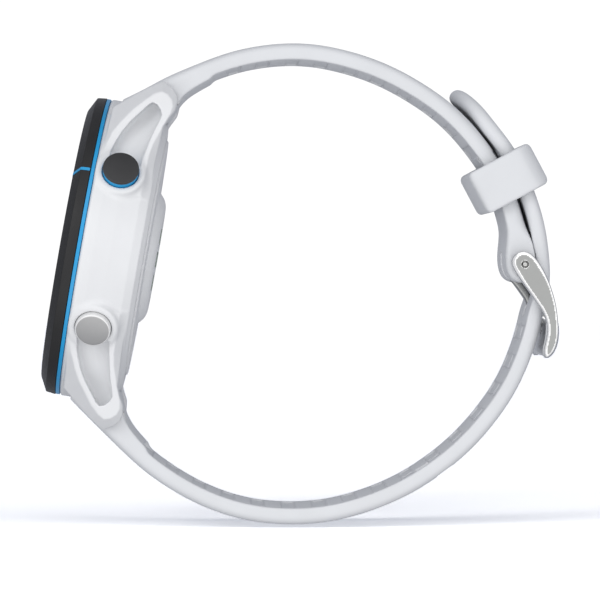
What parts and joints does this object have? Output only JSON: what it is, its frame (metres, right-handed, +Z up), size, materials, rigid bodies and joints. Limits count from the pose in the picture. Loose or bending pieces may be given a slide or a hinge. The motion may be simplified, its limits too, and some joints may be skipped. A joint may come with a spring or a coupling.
{
  "type": "gps running watch",
  "caption": "Round GPS running watch with side buttons, a rear optical sensor and a silicone band closed by a pin buckle.",
  "frame": {"origin": "centre of the flat sensor window on the back of the case, where it rests on the wrist", "axes": "+X across the band towards the start and back buttons, +Y from the dial towards the buckle, +Z up with the twelve o'clock end on top; the case leans 10 degrees about X, so the sensor window faces +Y and a little down"},
  "size_m": [0.0479, 0.0798, 0.0747],
  "materials": {
    "white_case": "satin",
    "white_silicone": "matte",
    "black_polymer": "satin",
    "blue_polymer": "gloss",
    "dark_cap": "brushed",
    "silver_cap": "brushed",
    "lens_glass": "polished",
    "display": "matte",
    "board": "satin",
    "cell": "satin",
    "seal_rubber": "matte",
    "gold_contact": "polished",
    "steel": "brushed",
    "switch_black": "matte",
    "buckle_steel": "brushed"
  },
  "bodies": {
    "watch": {"case_body": "white_case", "rear_cover": "white_case", "buckle_strap": "white_silicone", "hole_strap": "white_silicone", "bezel": "black_polymer", "inner_frame": "black_polymer", "accent_ring": "blue_polymer", "display_lens": "lens_glass", "sensor_window": "lens_glass", "display_panel": "display", "main_board": "board", "sensor_board": "board", "battery": "cell", "rear_gasket": "seal_rubber", "antenna_ring": "gold_contact", "buzzer": "gold_contact", "charge_contact_1": "gold_contact", "charge_contact_2": "gold_contact", "charge_contact_3": "gold_contact", "charge_contact_4": "gold_contact", "vibration_motor": "steel", "upper_spring_bar": "steel", "lower_spring_bar": "steel", "rear_screw_1": "steel", "rear_screw_2": "steel", "rear_screw_3": "steel", "rear_screw_4": "steel", "start_switch": "switch_black", "back_switch": "switch_black", "light_switch": "switch_black", "up_switch": "switch_black", "down_switch": "switch_black", "buckle_pin": "buckle_steel"},
    "start_button": {"start_cap": "dark_cap", "start_seal": "seal_rubber", "start_clip": "steel", "start_collar": "blue_polymer"},
    "back_button": {"back_cap": "silver_cap", "back_seal": "seal_rubber", "back_clip": "steel"},
    "light_button": {"light_cap": "silver_cap", "light_seal": "seal_rubber", "light_clip": "steel"},
    "up_button": {"up_cap": "silver_cap", "up_seal": "seal_rubber", "up_clip": "steel"},
    "down_button": {"down_cap": "silver_cap", "down_seal": "seal_rubber", "down_clip": "steel"},
    "keeper": {"keeper": "white_silicone"},
    "buckle": {"buckle_frame": "buckle_steel"},
    "tongue": {"tongue": "buckle_steel"},
    "upper_release": {"upper_release_pin": "steel"},
    "lower_release": {"lower_release_pin": "steel"}
  },
  "joints": [
    {"name": "start_press", "type": "slide", "parent": "watch", "child": "start_button", "axis": [-0.866, -0.0868, -0.4924], "range_m": [0, 0.0005], "stiffness_N_per_m": 2500, "springref_m": -0.0002},
    {"name": "back_press", "type": "slide", "parent": "watch", "child": "back_button", "axis": [-0.866, 0.0868, 0.4924], "range_m": [0, 0.0005], "stiffness_N_per_m": 2500, "springref_m": -0.0002},
    {"name": "light_press", "type": "slide", "parent": "watch", "child": "light_button", "axis": [0.866, -0.0868, -0.4924], "range_m": [0, 0.0005], "stiffness_N_per_m": 2500, "springref_m": -0.0002},
    {"name": "up_press", "type": "slide", "parent": "watch", "child": "up_button", "axis": [1, 0, 0], "range_m": [0, 0.0005], "stiffness_N_per_m": 2500, "springref_m": -0.0002},
    {"name": "down_press", "type": "slide", "parent": "watch", "child": "down_button", "axis": [0.866, 0.0868, 0.4924], "range_m": [0, 0.0005], "stiffness_N_per_m": 2500, "springref_m": -0.0002},
    {"name": "keeper_slide", "type": "hinge", "parent": "watch", "child": "keeper", "pos_m": [0, 0.01333, -0.00771], "axis": [1, 0, 0], "range_deg": [-1.5, 1.5]},
    {"name": "tongue_hinge", "type": "hinge", "parent": "watch", "child": "tongue", "pos_m": [0, 0.05679, -0.00078], "axis": [1, 0, 0], "range_deg": [0, 3]},
    {"name": "buckle_hinge", "type": "hinge", "parent": "tongue", "child": "buckle", "pos_m": [0, 0.05679, -0.00078], "axis": [1, 0, 0], "range_deg": [-1.5, 0]},
    {"name": "upper_release_slide", "type": "slide", "parent": "watch", "child": "upper_release", "axis": [-1, 0, 0], "range_m": [0, 0.0016], "stiffness_N_per_m": 600, "springref_m": -0.0005},
    {"name": "lower_release_slide", "type": "slide", "parent": "watch", "child": "lower_release", "axis": [-1, 0, 0], "range_m": [0, 0.0016], "stiffness_N_per_m": 600, "springref_m": -0.0005}
  ]
}
